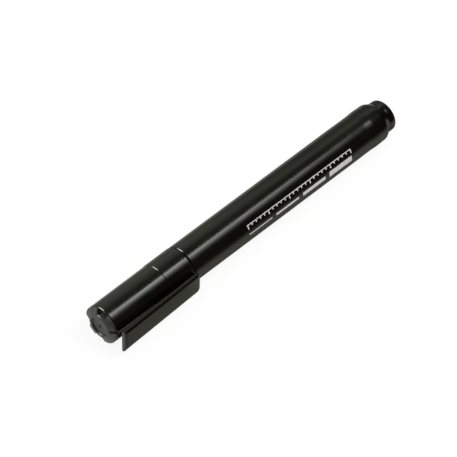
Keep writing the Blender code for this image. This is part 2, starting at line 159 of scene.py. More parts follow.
# Clip, and the low rail under it on the cap's tube
CLIP_RAIL_FOOT = 6.5 * MM
CLIP_RAIL_FOOT_WIDTH = 3.54 * MM
CLIP_RAIL_TOP = 7.35 * MM
CLIP_RAIL_TOP_WIDTH = 2.4 * MM
CLIP_WIDTH_AT_FREE_END = 8.86 * MM
CLIP_WIDTH_AT_ROOT_END = 7.98 * MM
CLIP_THICKNESS = 1.4 * MM
CLIP_FREE_END = 1.25 * MM
CLIP_ROOT_END = 38.1 * MM
CLIP_HINGE = 35.2 * MM
CLIP_OUTER_AT_FREE_END = 10.96 * MM
CLIP_OUTER_AT_ROOT_END = 9.77 * MM
CLIP_ROOT_CORNER = 1.7 * MM
CLIP_CORNER_STEPS = 10
CLIP_CHAMFER = 0.55 * MM
CLIP_FACE_ROUND = 0.75 * MM
CLIP_LOWER_EXTRA = 0.6 * MM
CLIP_FINE_EDGE = 0.13 * MM
CLIP_EDGE_ANGLE = math.radians(40)
CLIP_ROOT_FRONT = 36.6 * MM
CLIP_ROOT_DEPTH = 4.4 * MM
CLIP_FILLET = 1.0 * MM
CLIP_ROUND_STEPS = 6
CLIP_BEND_LENGTH = 4.0 * MM
CLIP_BEND_STEPS = 8
CLIP_CUTS = 16

# Front section and nib
NECK_CLEARANCE = 0.35 * MM
NECK_RADIUS = CAP_BORE - NECK_CLEARANCE
SNAP_BEAD_HEIGHT = 0.2 * MM
SNAP_BEAD_REACH = 0.5 * MM
SNAP_BEAD_ROUND = 0.4 * MM
SNAP_BEAD_AT = 31.0 * MM
FLANGE_CLEARANCE = 0.4 * MM
FLANGE_RADIUS = LEAD_IN_RADIUS - FLANGE_CLEARANCE
FLANGE_THICKNESS = 1.0 * MM
NECK_START = 26.0 * MM
NECK_SLOPE_LENGTH = 0.6 * MM
NECK_STEP_HEIGHT = 0.25 * MM
NECK_STEP_LENGTH = 0.4 * MM
SEAL_LAND_START = 21.6 * MM
SEAL_LAND_RADIUS = 4.6 * MM
SEAL_LAND_ROUND = 0.8 * MM
NOSE_START = 15.8 * MM
NOSE_RADIUS = 3.1 * MM
SECTION_END = 52.5 * MM
SECTION_WALL = 1.0 * MM
NIB_BORE = 2.6 * MM
NIB_SOCKET_END = 40.5 * MM
VENT_SLOT_COUNT = 4
VENT_SLOT_WIDTH = 0.7 * MM
VENT_SLOT_DEPTH = 0.35 * MM
VENT_SLOT_LENGTH = 6.0 * MM
NIB_RADIUS = 2.3 * MM
NIB_TIP = 10.3 * MM
NIB_TIP_FLAT = 0.95 * MM
NIB_TIP_ROUND = 0.7 * MM
NIB_SHOULDER = 13.6 * MM
NIB_SHOULDER_ROUND = 2.5 * MM
NIB_TAIL_RADIUS = 1.4 * MM
NIB_END = 59.0 * MM

# Barrel bore and tail plug
BARREL_BORE = 5.75 * MM
TAIL_BORE = 4.5 * MM
TAIL_BORE_START = 127.4 * MM
TAIL_BORE_SLOPE_LENGTH = 1.2 * MM
RESERVOIR_END = 126.4 * MM
TAIL_PLUG_WALL = 0.9 * MM
TAIL_PLUG_FLOOR = 2.1 * MM
TAIL_PLUG_DRAFT = 0.3 * MM

# Print on the barrel: a plain measuring rule with a row of stroke samples below it. Turns are in degrees
# round the pen from the clip's side towards the top.
PRINT_DEPTH = 0.01 * MM
PRINT_THICKNESS = 0.03 * MM
PRINT_STEP_TURN = 1.5
PRINT_LEAST_STEPS = 3
RULE_START = 64.0 * MM
RULE_STEP = 2.0 * MM
RULE_STEPS = 25
RULE_LONG_EVERY = 5
RULE_TOP_TURN = 38.0
RULE_LINE_TURN = 2.6
RULE_SHORT_TURN = 8.0
RULE_LONG_TURN = 13.0
RULE_TICK_WIDTH = 0.45 * MM
STROKE_LENGTH = 11.0 * MM
STROKE_PITCH = 13.0 * MM
STROKE_MIDDLE_TURN = 9.0
STROKE_TURNS = (3.5, 6.5, 11.0, 17.0)


def deselect():
    bpy.ops.object.select_all(action="DESELECT")


def place(along, radius):
    """The point at that place along the pen, straight above its axis."""
    return Vector((CAP_END_X + along, AXIS_Y, AXIS_Z + radius))


def rounded(corners, closed):
    """The outline through (along, radius, rounding) corners, with each rounding drawn as an arc."""
    points = []
    count = len(corners)
    for index, (along, radius, rounding) in enumerate(corners):
        corner = Vector((along, radius))
        at_end = not closed and index in (0, count - 1)
        if rounding == 0 or at_end:
            points.append(corner)
            continue
        before = (Vector(corners[index - 1][:2]) - corner).normalized()
        after = (Vector(corners[(index + 1) % count][:2]) - corner).normalized()
        opening = before.angle(after)
        middle = corner + (before + after).normalized() * rounding / math.sin(opening / 2)
        reach = rounding / math.tan(opening / 2)
        start = corner + before * reach - middle
        turn = start.angle_signed(corner + after * reach - middle)
        steps = max(CORNER_LEAST_STEPS, round(CORNER_STEPS * abs(turn) / (math.pi / 2)))
        for step in range(steps + 1):
            points.append(middle + Matrix.Rotation(-turn * step / steps, 2) @ start)
    return points


def name_piece(obj, name):
    obj.name = name
    obj.data.name = name


def first_point(at):
    """A single point in edit mode, from which an outline is extruded."""
    deselect()
    bpy.ops.mesh.primitive_plane_add(size=MM, location=at)
    bpy.ops.object.mode_set(mode="EDIT")
    bpy.ops.mesh.select_mode(type="VERT")
    bpy.ops.mesh.select_all(action="SELECT")
    bpy.ops.mesh.merge(type="CENTER")
    return bpy.context.object


def spin_all(steps, angle):
    """Spins all that is drawn, in edit mode, round the pen's axis."""
    bpy.ops.mesh.select_all(action="SELECT")
    bpy.ops.mesh.spin(steps=steps, angle=angle, center=(0, AXIS_Y, AXIS_Z), axis=(1, 0, 0))


def face_outward():
    """Turns all faces, in edit mode, outward, and goes back to object mode."""
    bpy.ops.mesh.select_all(action="SELECT")
    bpy.ops.mesh.normals_make_consistent(inside=False)
    bpy.ops.object.mode_set(mode="OBJECT")


def weld():
    """Welds the points that meet, in edit mode, and turns the faces outward."""
    bpy.ops.mesh.select_all(action="SELECT")
    bpy.ops.mesh.remove_doubles(threshold=WELD)
    face_outward()


def settle():
    """Puts the selected piece's place, turn and size into its mesh."""
    bpy.ops.object.transform_apply(location=True, rotation=True, scale=True)


def turned_piece(name, corners, closed=True):
    """A profile extruded from corner to corner above the pen's axis, then spun round it."""
    points = [place(*point) for point in rounded(corners, closed)]
    obj = first_point(points[0])
    name_piece(obj, name)
    for last, point in zip(points, points[1:]):
        bpy.ops.mesh.extrude_vertices_move(TRANSFORM_OT_translate={"value": point - last})
    if closed:
        outline = bmesh.from_edit_mesh(obj.data)
        for vertex in outline.verts:
            vertex.select_set(len(vertex.link_edges) == 1)
        bmesh.update_edit_mesh(obj.data)
        bpy.ops.mesh.edge_face_add()
    spin_all(TURN_STEPS, 2 * math.pi)
    weld()
    settle()
    return obj


def select_edges(obj, wanted):
    """Selects, in edit mode, the edges that pass the test and nothing else."""
    bpy.ops.mesh.select_all(action="DESELECT")
    bpy.ops.mesh.select_mode(type="EDGE")
    shape = bmesh.from_edit_mesh(obj.data)
    for edge in shape.edges:
        edge.select_set(wanted(edge.verts[0].co, edge.verts[1].co))
    bmesh.update_edit_mesh(obj.data)


def select_faces(obj, wanted):
    """Selects, in edit mode, the faces whose normal and middle pass the test and nothing else."""
    bpy.ops.mesh.select_all(action="DESELECT")
    bpy.ops.mesh.select_mode(type="FACE")
    shape = bmesh.from_edit_mesh(obj.data)
    for face in shape.faces:
        face.select_set(wanted(face.normal, face.calc_center_median()))
    bmesh.update_edit_mesh(obj.data)


def radial_block(low, high, turn):
    """A block between two (along, radius, sideways) corners, turned round the axis from the clip's side."""
    deselect()
    middle = [(a + b) / 2 for a, b in zip(low, high)]
    bpy.ops.mesh.primitive_cube_add(size=1, location=(CAP_END_X + middle[0], middle[2], middle[1]))
    obj = bpy.context.object
    obj.scale = [b - a for a, b in zip((low[0], low[2], low[1]), (high[0], high[2], high[1]))]
    settle()
    obj.rotation_euler.x = math.pi / 2 - turn
    obj.location = (0, AXIS_Y, AXIS_Z)
    settle()
    return obj


def ring_sector(low, high, span, turn, slope):
    """A sector of a ring between two (along, radius) corners: a flat plate, spun part of the way round. Its
    middle is turned round the axis from the clip's side, and its inside can slope down to the cap's end."""
    deselect()
    middle = [(a + b) / 2 for a, b in zip(low, high)]
    bpy.ops.mesh.primitive_plane_add(
        size=1, location=(CAP_END_X + middle[0], 0, middle[1]), rotation=(math.pi / 2, 0, 0)
    )
    obj = bpy.context.object
    obj.scale = (high[0] - low[0], high[1] - low[1], 1)
    settle()
    bpy.ops.object.mode_set(mode="EDIT")
    bpy.ops.mesh.select_mode(type="VERT")
    plate = bmesh.from_edit_mesh(obj.data)
    for vertex in plate.verts:
        vertex.select_set(vertex.co.x < CAP_END_X + middle[0] and vertex.co.z < middle[1])
    plate.select_flush(False)
    bmesh.update_edit_mesh(obj.data)
    bpy.ops.transform.translate(value=(0, 0, slope * (low[0] - high[0])))
    bpy.ops.object.mode_set(mode="OBJECT")
    obj.rotation_euler.x = math.pi / 2 - turn + span / 2
    obj.location = (0, AXIS_Y, AXIS_Z)
    settle()
    bpy.ops.object.mode_set(mode="EDIT")
    spin_all(SECTOR_STEPS, span)
    face_outward()
    return obj


def take_up(obj):
    """Makes a piece the only one selected, and the active one."""
    deselect()
    obj.select_set(True)
    bpy.context.view_layer.objects.active = obj


def combine(obj, tool, operation):
    """Cuts the tool out of a piece or joins it on, and removes the tool."""
    boolean = obj.modifiers.new("Shape", "BOOLEAN")
    boolean.operation = operation
    boolean.solver = "EXACT"
    boolean.object = tool
    take_up(obj)
    bpy.ops.object.modifier_apply(modifier=boolean.name)
    bpy.data.objects.remove(tool, do_unlink=True)


def round_edges(obj, width, angle):
    """Rounds those edges of a piece that turn by more than the angle."""
    take_up(obj)
    edges = obj.modifiers.new("Rounded edges", "BEVEL")
    edges.width = width
    edges.segments = EDGE_STEPS
    edges.limit_method = "ANGLE"
    edges.angle_limit = angle
    bpy.ops.object.modifier_apply(modifier=edges.name)


def finish(obj, material):
    """Gives a piece its material, and shades it smooth between sharp edges, with broad faces kept flat."""
    take_up(obj)
    bpy.ops.object.shade_smooth_by_angle(angle=SMOOTH_ANGLE)
    weighted = obj.modifiers.new("Flat broad faces", "WEIGHTED_NORMAL")
    weighted.keep_sharp = True
    bpy.ops.object.modifier_apply(modifier=weighted.name)
    obj.data.materials.clear()
    obj.data.materials.append(material)


def barrel_piece(material):
    barrel = turned_piece(
        "barrel_moulding",
        [
            (SHOULDER_END, STUB_RADIUS, SMALL_ROUND),
            (SHOULDER_FOOT, STUB_RADIUS, SHOULDER_FOOT_ROUND),
            (SHOULDER_START, BARREL_END_RADIUS, SHOULDER_ROUND),
            (SWELL_PEAK, BARREL_SWELL_RADIUS, SWELL_ROUND),
            (WAIST, BARREL_WAIST_RADIUS, SWELL_ROUND),
            (WAIST_START, BARREL_RADIUS, SWELL_ROUND),
            (BARREL_FRONT + FRONT_SLOPE_LENGTH, BARREL_RADIUS, SMALL_ROUND),
            (BARREL_FRONT, BARREL_RADIUS - FRONT_SLOPE_DROP, FINE_ROUND),
            (BARREL_FRONT, BARREL_BORE, SMALL_ROUND),
            (TAIL_BORE_START, BARREL_BORE, SOFT_ROUND),
            (TAIL_BORE_START + TAIL_BORE_SLOPE_LENGTH, TAIL_BORE, 0),
            (SHOULDER_END, TAIL_BORE, 0),
        ],
    )
    finish(barrel, material)
    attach(barrel, "barrel_body")
    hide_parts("barrel")


def tail_plug_piece(material):
    spigot_radius = TAIL_BORE - GAP
    hollow_radius = spigot_radius - TAIL_PLUG_WALL
    head_start = SHOULDER_END + TAIL_SEAM
    spigot_end = RESERVOIR_END + GAP
    plug = turned_piece(
        "tail_plug_moulding",
        [
            (TOTAL_LENGTH, 0, 0),
            (TOTAL_LENGTH, STUB_RADIUS, TAIL_ROUND),
            (head_start, STUB_RADIUS, FINE_ROUND),
            (head_start, spigot_radius, 0),
            (spigot_end, spigot_radius, SOFT_ROUND),
            (spigot_end, hollow_radius, 0),
            (TOTAL_LENGTH - TAIL_PLUG_FLOOR, hollow_radius - TAIL_PLUG_DRAFT, SOFT_ROUND),
            (TOTAL_LENGTH - TAIL_PLUG_FLOOR, 0, 0),
        ],
        closed=False,
    )
    finish(plug, material)
    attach(plug, "barrel_body")
    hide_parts("tail_plug")


def front_section_piece(material):
    spigot_radius = BARREL_BORE - GAP
    flange_back = BARREL_FRONT - GAP
    flange_front = flange_back - FLANGE_THICKNESS
    section = turned_piece(
        "front_section_moulding",
        [
            (SECTION_END, spigot_radius, SOFT_ROUND),
            (flange_back, spigot_radius, 0),
            (flange_back, FLANGE_RADIUS, FINE_ROUND),
            (flange_front, FLANGE_RADIUS, SMALL_ROUND),
            (flange_front, NECK_RADIUS, 0),
            (SNAP_BEAD_AT + SNAP_BEAD_REACH, NECK_RADIUS, 0),
            (SNAP_BEAD_AT, NECK_RADIUS + SNAP_BEAD_HEIGHT, SNAP_BEAD_ROUND),
            (SNAP_BEAD_AT - SNAP_BEAD_REACH, NECK_RADIUS, 0),
            (NECK_START + NECK_SLOPE_LENGTH, NECK_RADIUS, SOFT_ROUND),
            (NECK_START, SEAL_LAND_RADIUS + NECK_STEP_HEIGHT, SMALL_ROUND),
            (NECK_START - NECK_STEP_LENGTH, SEAL_LAND_RADIUS, 0),
            (SEAL_LAND_START, SEAL_LAND_RADIUS, SEAL_LAND_ROUND),
            (NOSE_START, NOSE_RADIUS, EDGE_ROUND),
            (NOSE_START, NIB_BORE, 0),
            (NIB_SOCKET_END, NIB_BORE, 0),
            (SECTION_END, spigot_radius - SECTION_WALL, 0),
        ],
    )
    for index in range(VENT_SLOT_COUNT):
        slot = radial_block(
            (NOSE_START - PAST_FACE, NIB_BORE - SOFT_ROUND, -VENT_SLOT_WIDTH / 2),
            (NOSE_START + VENT_SLOT_LENGTH, NIB_BORE + VENT_SLOT_DEPTH, VENT_SLOT_WIDTH / 2),
            2 * math.pi * (index + 0.5) / VENT_SLOT_COUNT,
        )
        combine(section, slot, "DIFFERENCE")
    finish(section, material)
    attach(section, "barrel_body")
    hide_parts("front_section")


def nib_piece(material):
    nib = turned_piece(
        "fibre_nib",
        [
            (NIB_END, 0, 0),
            (NIB_END, NIB_TAIL_RADIUS, EDGE_ROUND),
            (SECTION_END, NIB_RADIUS, 0),
            (NIB_SHOULDER, NIB_RADIUS, NIB_SHOULDER_ROUND),
            (NIB_TIP, NIB_TIP_FLAT, NIB_TIP_ROUND),
            (NIB_TIP, 0, 0),
        ],
        closed=False,
    )
    finish(nib, material)
    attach(nib, "barrel_body")
    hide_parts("nib")


def cap_piece(material):
    groove_low = SNAP_BEAD_AT - SNAP_GROOVE_LENGTH / 2
    groove_high = SNAP_BEAD_AT + SNAP_GROOVE_LENGTH / 2
    cap = turned_piece(
        "cap_moulding",
        [
            (CAP_MOUTH, COLLAR_RADIUS, MOUTH_ROUND),
            (COLLAR_START + COLLAR_STEP_LENGTH, COLLAR_RADIUS, COLLAR_STEP_ROUND),
            (COLLAR_START, TUBE_RADIUS, 0),
            (CAP_RIM + RIM_SLOPE_LENGTH, TUBE_RIM_RADIUS, SMALL_ROUND),
            (CAP_RIM, TUBE_RIM_RADIUS - RIM_SLOPE_DROP, FINE_ROUND),
            (CAP_RIM, CAP_BORE, SMALL_ROUND),
            (groove_low, CAP_BORE, 0),
            (groove_low + BORE_SLOPE_LENGTH, CAP_BORE + SNAP_GROOVE_DEPTH, 0),
            (groove_high - BORE_SLOPE_LENGTH, CAP_BORE + SNAP_GROOVE_DEPTH, 0),
            (groove_high, CAP_BORE, 0),
            (CAP_MOUTH - LEAD_IN_LENGTH, CAP_BORE, 0),
            (CAP_MOUTH - LEAD_IN_LENGTH + BORE_SLOPE_LENGTH, LEAD_IN_RADIUS, 0),
            (CAP_MOUTH, LEAD_IN_RADIUS, FINE_ROUND),
        ],
    )
    rail = radial_block(
        (CAP_RIM + RIM_SLOPE_LENGTH, CLIP_RAIL_FOOT, -CLIP_RAIL_FOOT_WIDTH / 2),
        (COLLAR_START + COLLAR_STEP_LENGTH, CLIP_RAIL_TOP, CLIP_RAIL_FOOT_WIDTH / 2),
        0,
    )
    bpy.ops.object.mode_set(mode="EDIT")
    select_faces(rail, lambda normal, middle: normal.y < -FACING)
    narrowing = CLIP_RAIL_TOP_WIDTH / CLIP_RAIL_FOOT_WIDTH
    bpy.ops.transform.resize(value=(1, 1, narrowing), center_override=(0, AXIS_Y, AXIS_Z))
    bpy.ops.object.mode_set(mode="OBJECT")
    combine(cap, rail, "UNION")
    finish(cap, material)
    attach(cap, "cap")
    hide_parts("cap_shell")


def crown_plug_piece(material):
    head_back = CAP_RIM - CROWN_SEAM
    spigot_end = CAP_RIM - GAP + PLUG_SPIGOT_LENGTH
    spigot_radius = CAP_BORE - CROWN_SEAM
    plug = turned_piece(
        "crown_plug_moulding",
        [
            (spigot_end, 0, 0),
            (spigot_end, spigot_radius, SOFT_ROUND),
            (head_back, spigot_radius, 0),
            (head_back, CROWN_RADIUS, FINE_ROUND),
            (CROWN_EDGE, CROWN_RADIUS, CROWN_ROUND),
            (0, RING_OUTER, RING_ROUND),
            (0, RING_INNER, FINE_ROUND),
            (RECESS_FLOOR, RING_INNER - RECESS_DRAFT, FINE_ROUND),
            (RECESS_FLOOR, DIMPLE_RADIUS, FINE_ROUND),
            (RECESS_FLOOR + DIMPLE_DEPTH, DIMPLE_RADIUS / 2, FINE_ROUND),
            (RECESS_FLOOR + DIMPLE_DEPTH, 0, 0),
        ],
        closed=False,
    )
    vent_front = (-PAST_FACE, VENT_FLOOR_RADIUS)
    for turn, span in VENTS:
        for back, slope in ((head_back, 0), (VENT_LEAD_LENGTH, VENT_LEAD_SLOPE)):
            vent_back = (back, CROWN_RADIUS + PAST_FACE)
            cutter = ring_sector(vent_front, vent_back, math.radians(span), math.radians(turn), slope)
            combine(plug, cutter, "DIFFERENCE")
    round_edges(plug, VENT_EDGE_ROUND, VENT_EDGE_ANGLE)
    finish(plug, material)
    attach(plug, "cap")
    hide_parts("cap_end_plug")


def seal_cup_piece(material):
    base = CAP_RIM + PLUG_SPIGOT_LENGTH
    mouth = NECK_START - NECK_STEP_LENGTH
    bore = SEAL_LAND_RADIUS + GAP
    outer = bore + SEAL_WALL
    cup = turned_piece(
        "seal_cup",
        [
            (base, 0, 0),
            (base, outer, SEAL_ROUND),
            (mouth, outer, SMALL_ROUND),
            (mouth, bore + SEAL_MOUTH_FLARE, 0),
            (mouth - SEAL_MOUTH_FLARE_LENGTH, bore, 0),
            (SEAL_LAND_START, bore, 0),
            (base + SEAL_BASE, bore - SEAL_DRAFT, SEAL_ROUND),
            (base + SEAL_BASE, 0, 0),
        ],
        closed=False,
    )
    for index in range(SEAL_RIB_COUNT):
        rib = radial_block(
            (base + SEAL_RIB_INSET, outer - SOFT_ROUND, -SEAL_RIB_WIDTH / 2),
            (mouth - SEAL_RIB_SETBACK, CAP_BORE - GAP, SEAL_RIB_WIDTH / 2),
            2 * math.pi * (index + 0.5) / SEAL_RIB_COUNT,
        )
        combine(cup, rib, "UNION")
    finish(cup, material)
    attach(cup, "cap")
    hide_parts("inner_cap")


def clip_piece(material):
    """The clip with its root, drawn about the hinge line and then leaned. Its cuts lie closer together ahead
    of its root, up to just past the hinge line."""
    length = CLIP_ROOT_END - CLIP_FREE_END
    lean = math.atan2(CLIP_OUTER_AT_FREE_END - CLIP_OUTER_AT_ROOT_END, length)
    outer_at_hinge = CLIP_OUTER_AT_ROOT_END + (CLIP_ROOT_END - CLIP_HINGE) * math.tan(lean)
    free_x = CLIP_FREE_END - CLIP_HINGE
    root_x = CLIP_ROOT_END - CLIP_HINGE
    root_front = CLIP_ROOT_FRONT - CLIP_HINGE
    bend_start = GAP / 2
    deselect()
    bpy.ops.mesh.primitive_cube_add(size=1, location=((free_x + root_x) / 2, CLIP_THICKNESS / 2, 0))
    clip = bpy.context.object
    name_piece(clip, "clip_moulding")
    clip.scale = (length, CLIP_THICKNESS, CLIP_WIDTH_AT_ROOT_END)
    settle()
    bpy.ops.object.mode_set(mode="EDIT")
    select_edges(clip, lambda a, b: max(a.x, b.x) < 0)
    widening = CLIP_WIDTH_AT_FREE_END / CLIP_WIDTH_AT_ROOT_END
    bpy.ops.transform.resize(value=(1, 1, widening), center_override=(0, 0, 0))
    select_edges(clip, lambda a, b: min(a.x, b.x) > root_x - WELD and abs(a.y - b.y) > WELD)
    bpy.ops.mesh.bevel(offset=CLIP_ROOT_CORNER, segments=CLIP_CORNER_STEPS, affect="EDGES")
    select_edges(clip, lambda a, b: max(a.z, b.z) < 0)
    bpy.ops.transform.translate(value=(0, 0, -CLIP_LOWER_EXTRA))
    select_edges(clip, lambda a, b: max(a.y, b.y) < WELD)
    bpy.ops.mesh.bevel(offset=CLIP_CHAMFER, segments=1, affect="EDGES")
    select_edges(clip, lambda a, b: max(a.y, b.y) < WELD)
    bpy.ops.mesh.bevel(offset=CLIP_FACE_ROUND, segments=CLIP_ROUND_STEPS, affect="EDGES")
    cuts = [free_x + bend_start + step * (length / CLIP_CUTS) for step in range(1, CLIP_CUTS)]
    cuts = [x for x in cuts if x < -CLIP_BEND_LENGTH]
    for step in range(CLIP_BEND_STEPS):
        cuts.append(-CLIP_BEND_LENGTH + step * CLIP_BEND_LENGTH / CLIP_BEND_STEPS)
    for x in (*cuts, bend_start, root_front):
        bpy.ops.mesh.select_all(action="SELECT")
        bpy.ops.mesh.bisect(plane_co=(x, 0, 0), plane_no=(1, 0, 0))
    select_faces(clip, lambda normal, middle: normal.y > FACING and middle.x > root_front)
    bpy.ops.mesh.extrude_region_move(
        TRANSFORM_OT_translate={"value": (0, CLIP_ROOT_DEPTH - CLIP_THICKNESS, 0)}
    )
    select_edges(
        clip,
        lambda a, b: max(abs(a.x - root_front), abs(b.x - root_front)) < WELD
        and max(abs(a.y - CLIP_THICKNESS), abs(b.y - CLIP_THICKNESS)) < WELD,
    )
    bpy.ops.mesh.bevel(offset=CLIP_FILLET, segments=CLIP_ROUND_STEPS, affect="EDGES")
    bpy.ops.object.mode_set(mode="OBJECT")
    round_edges(clip, CLIP_FINE_EDGE, CLIP_EDGE_ANGLE)
    bpy.ops.object.mode_set(mode="EDIT")
    weld()
    clip.rotation_euler.z = lean
    clip.location = (CAP_END_X + CLIP_HINGE, AXIS_Y - outer_at_hinge, AXIS_Z)
    settle()
    deselect()
    bpy.ops.mesh.primitive_cylinder_add(
        vertices=TURN_STEPS,
        radius=(CAP_BORE + COLLAR_RADIUS) / 2,
        depth=CAP_MOUTH,
        location=(CAP_END_X + CAP_MOUTH, AXIS_Y, AXIS_Z),
        rotation=(0, math.pi / 2, 0),
    )
    combine(clip, bpy.context.object, "DIFFERENCE")
    finish(clip, material)
    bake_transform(clip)
    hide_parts("clip_blade")


def printed_patch(start, end, low_turn, high_turn):
    """A patch of ink: a line along the pen, spun part of the way round it and given the ink's thickness."""
    low, high = math.radians(low_turn), math.radians(high_turn)
    radius = BARREL_RADIUS - PRINT_DEPTH
    patch = first_point((CAP_END_X + start, AXIS_Y - radius * math.cos(low), AXIS_Z + radius * math.sin(low)))
    bpy.ops.mesh.extrude_vertices_move(TRANSFORM_OT_translate={"value": (end - start, 0, 0)})
    steps = max(PRINT_LEAST_STEPS, round(math.degrees(high - low) / PRINT_STEP_TURN))
    spin_all(steps, high - low)
    bpy.ops.object.mode_set(mode="OBJECT")
    settle()
    ink = patch.modifiers.new("Ink", "SOLIDIFY")
    ink.thickness = PRINT_THICKNESS
    ink.offset = 1
    bpy.ops.object.modifier_apply(modifier=ink.name)
    return patch


def barrel_print(material):
    rule_end = RULE_START + RULE_STEPS * RULE_STEP
    line_low = RULE_TOP_TURN - RULE_LINE_TURN
    patches = [printed_patch(RULE_START, rule_end + RULE_TICK_WIDTH, line_low, RULE_TOP_TURN)]
    for step in range(RULE_STEPS + 1):
        reach = RULE_SHORT_TURN if step % RULE_LONG_EVERY else RULE_LONG_TURN
        tick = RULE_START + step * RULE_STEP
        patches.append(printed_patch(tick, tick + RULE_TICK_WIDTH, RULE_TOP_TURN - reach, line_low))
    for index, turn in enumerate(STROKE_TURNS):
        start = RULE_START + index * STROKE_PITCH
        low = STROKE_MIDDLE_TURN - turn / 2
        patches.append(printed_patch(start, start + STROKE_LENGTH, low, low + turn))
    take_up(patches[0])
    for patch in patches:
        patch.select_set(True)
    bpy.ops.object.join()
    printed = bpy.context.object
    name_piece(printed, "barrel_print")
    bpy.ops.object.mode_set(mode="EDIT")
    face_outward()
    finish(printed, material)
    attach(printed, "barrel_body")


# Marks on plastic: the scales of their noise, the scratches' slight turn, and the part of it that shows
RIPPLE_SCALE = 160
GRAIN_SCALE = 2400
SCRATCH_SCALE = (70, 3800, 3800)
SCRATCH_TURN = (0.02, 0.05, 0.03)
SCRATCH_RANGE = (0.66, 0.78)
SMUDGE_SCALE = 85
SMUDGE_RANGE = (0.38, 0.72)

# Felt, the seal cup's waxy plastic with how deep light goes into it, print ink and film
FELT_BUMP_STRENGTH = 0.8
FELT_BUMP_DISTANCE = 0.05 * MM
WAX_CLEAN = (0.74, 0.73, 0.68)
WAX_SMUDGED = (0.66, 0.65, 0.61)
WAX_DULLNESS = 0.38
WAX_GRAIN_WEIGHT = 0.15
WAX_DEPTHS = (0.0012, 0.0011, 0.0009)
INK_SPECK_SCALE = 1500
INK_SPECK_RANGE = (0.25, 0.42)
INK_THIN = (0.42, 0.41, 0.42)
INK_FULL = (0.76, 0.74, 0.76)
FILM_COLOR = (0.85, 0.87, 0.88, 1)
FILM_DULLNESS = 0.12
FILM_SMUDGE_WEIGHT = 0.1


def new_material(name):
    material = bpy.data.materials.new(name)
    material.use_nodes = True
    return material, material.node_tree.nodes, material.node_tree.links


def feed(links, value, socket):
    """Links another socket to this one, or sets a plain value on it."""
    if isinstance(value, bpy.types.NodeSocket):
        links.new(value, socket)
    else:
        socket.default_value = value


def place_on_piece(nodes):
    return nodes.new("ShaderNodeTexCoord").outputs["Object"]


def stretched(nodes, links, spot, scale, rotation=(0, 0, 0)):
    """A place turned and stretched, for a texture that runs one way."""
    node = nodes.new("ShaderNodeMapping")
    node.inputs["Scale"].default_value = scale
    node.inputs["Rotation"].default_value = rotation
    links.new(spot, node.inputs["Vector"])
    return node.outputs["Vector"]


def noise(nodes, links, spot, **settings):
    """A noise texture whose settings are sockets or numbers. Its value's socket is returned."""
    node = nodes.new("ShaderNodeTexNoise")
    links.new(spot, node.inputs["Vector"])
    for name, value in settings.items():
        feed(links, value, node.inputs[name])
    return node.outputs["Fac"]


def share_between(nodes, links, value, low, high):
    """How far the value has come from low to high, from 0 to 1."""
    node = nodes.new("ShaderNodeMapRange")
    node.inputs["From Min"].default_value = low
    node.inputs["From Max"].default_value = high
    links.new(value, node.inputs["Value"])
    return node.outputs["Result"]


def tone_ramp(nodes, stops):
    """A ramp through (position, colour) stops."""
    ramp = nodes.new("ShaderNodeValToRGB")
    ramp.color_ramp.interpolation = "EASE"
    points = ramp.color_ramp.elements
    while len(points) < len(stops):
        points.new(0.5)
    for point, (position, color) in zip(points, stops):
        point.position = position
        point.color = (*color, 1)
    return ramp


def maths(nodes, links, operation, first, second):
    """A Math node on two sockets or numbers. Its result's socket is returned."""
    node = nodes.new("ShaderNodeMath")
    node.operation = operation
    feed(links, first, node.inputs[0])
    feed(links, second, node.inputs[1])
    return node.outputs[0]


def eased(nodes, links, value, start, end, first, last):
    """A number that goes smoothly from first to last as the value goes from start to end."""
    ease = nodes.new("ShaderNodeMapRange")
    ease.interpolation_type = "SMOOTHSTEP"
    for name, number in zip(("From Min", "From Max", "To Min", "To Max"), (start, end, first, last)):
        ease.inputs[name].default_value = number
    links.new(value, ease.inputs["Value"])
    return ease.outputs["Result"]


def scaled(nodes, links, color, share):
    node = nodes.new("ShaderNodeVectorMath")
    node.operation = "SCALE"
    links.new(color, node.inputs[0])
    links.new(share, node.inputs["Scale"])
    return node.outputs["Vector"]


def mixed(nodes, links, share, first, second):
    """A mix of two colours, each a socket or a plain colour."""
    node = nodes.new("ShaderNodeMix")
    node.data_type = "RGBA"
    links.new(share, node.inputs["Factor"])
    for name, color in (("A", first), ("B", second)):
        feed(links, (*color, 1) if isinstance(color, tuple) else color, node.inputs[name])
    return node.outputs["Result"]


def place_on_stage(nodes, links):
    """A stage piece's own X, Y and Z as sockets."""
    split = nodes.new("ShaderNodeSeparateXYZ")
    links.new(place_on_piece(nodes), split.inputs[0])
    return split.outputs


def weighted_sum(nodes, links, base, terms):
    """base plus each (socket, weight) in turn, as one chain of Math nodes. Its end's socket is returned."""
    total = base
    for socket, weight in terms:
        step = nodes.new("ShaderNodeMath")
        step.operation = "MULTIPLY_ADD"
        for value, inlet in zip((socket, weight, total), step.inputs):
            feed(links, value, inlet)
        total = step.outputs[0]
    return total


def bumps(nodes, links, height, strength, distance):
    """A normal raised by the height."""
    node = nodes.new("ShaderNodeBump")
    node.inputs["Strength"].default_value = strength
    node.inputs["Distance"].default_value = distance
    links.new(height, node.inputs["Height"])
    return node.outputs["Normal"]


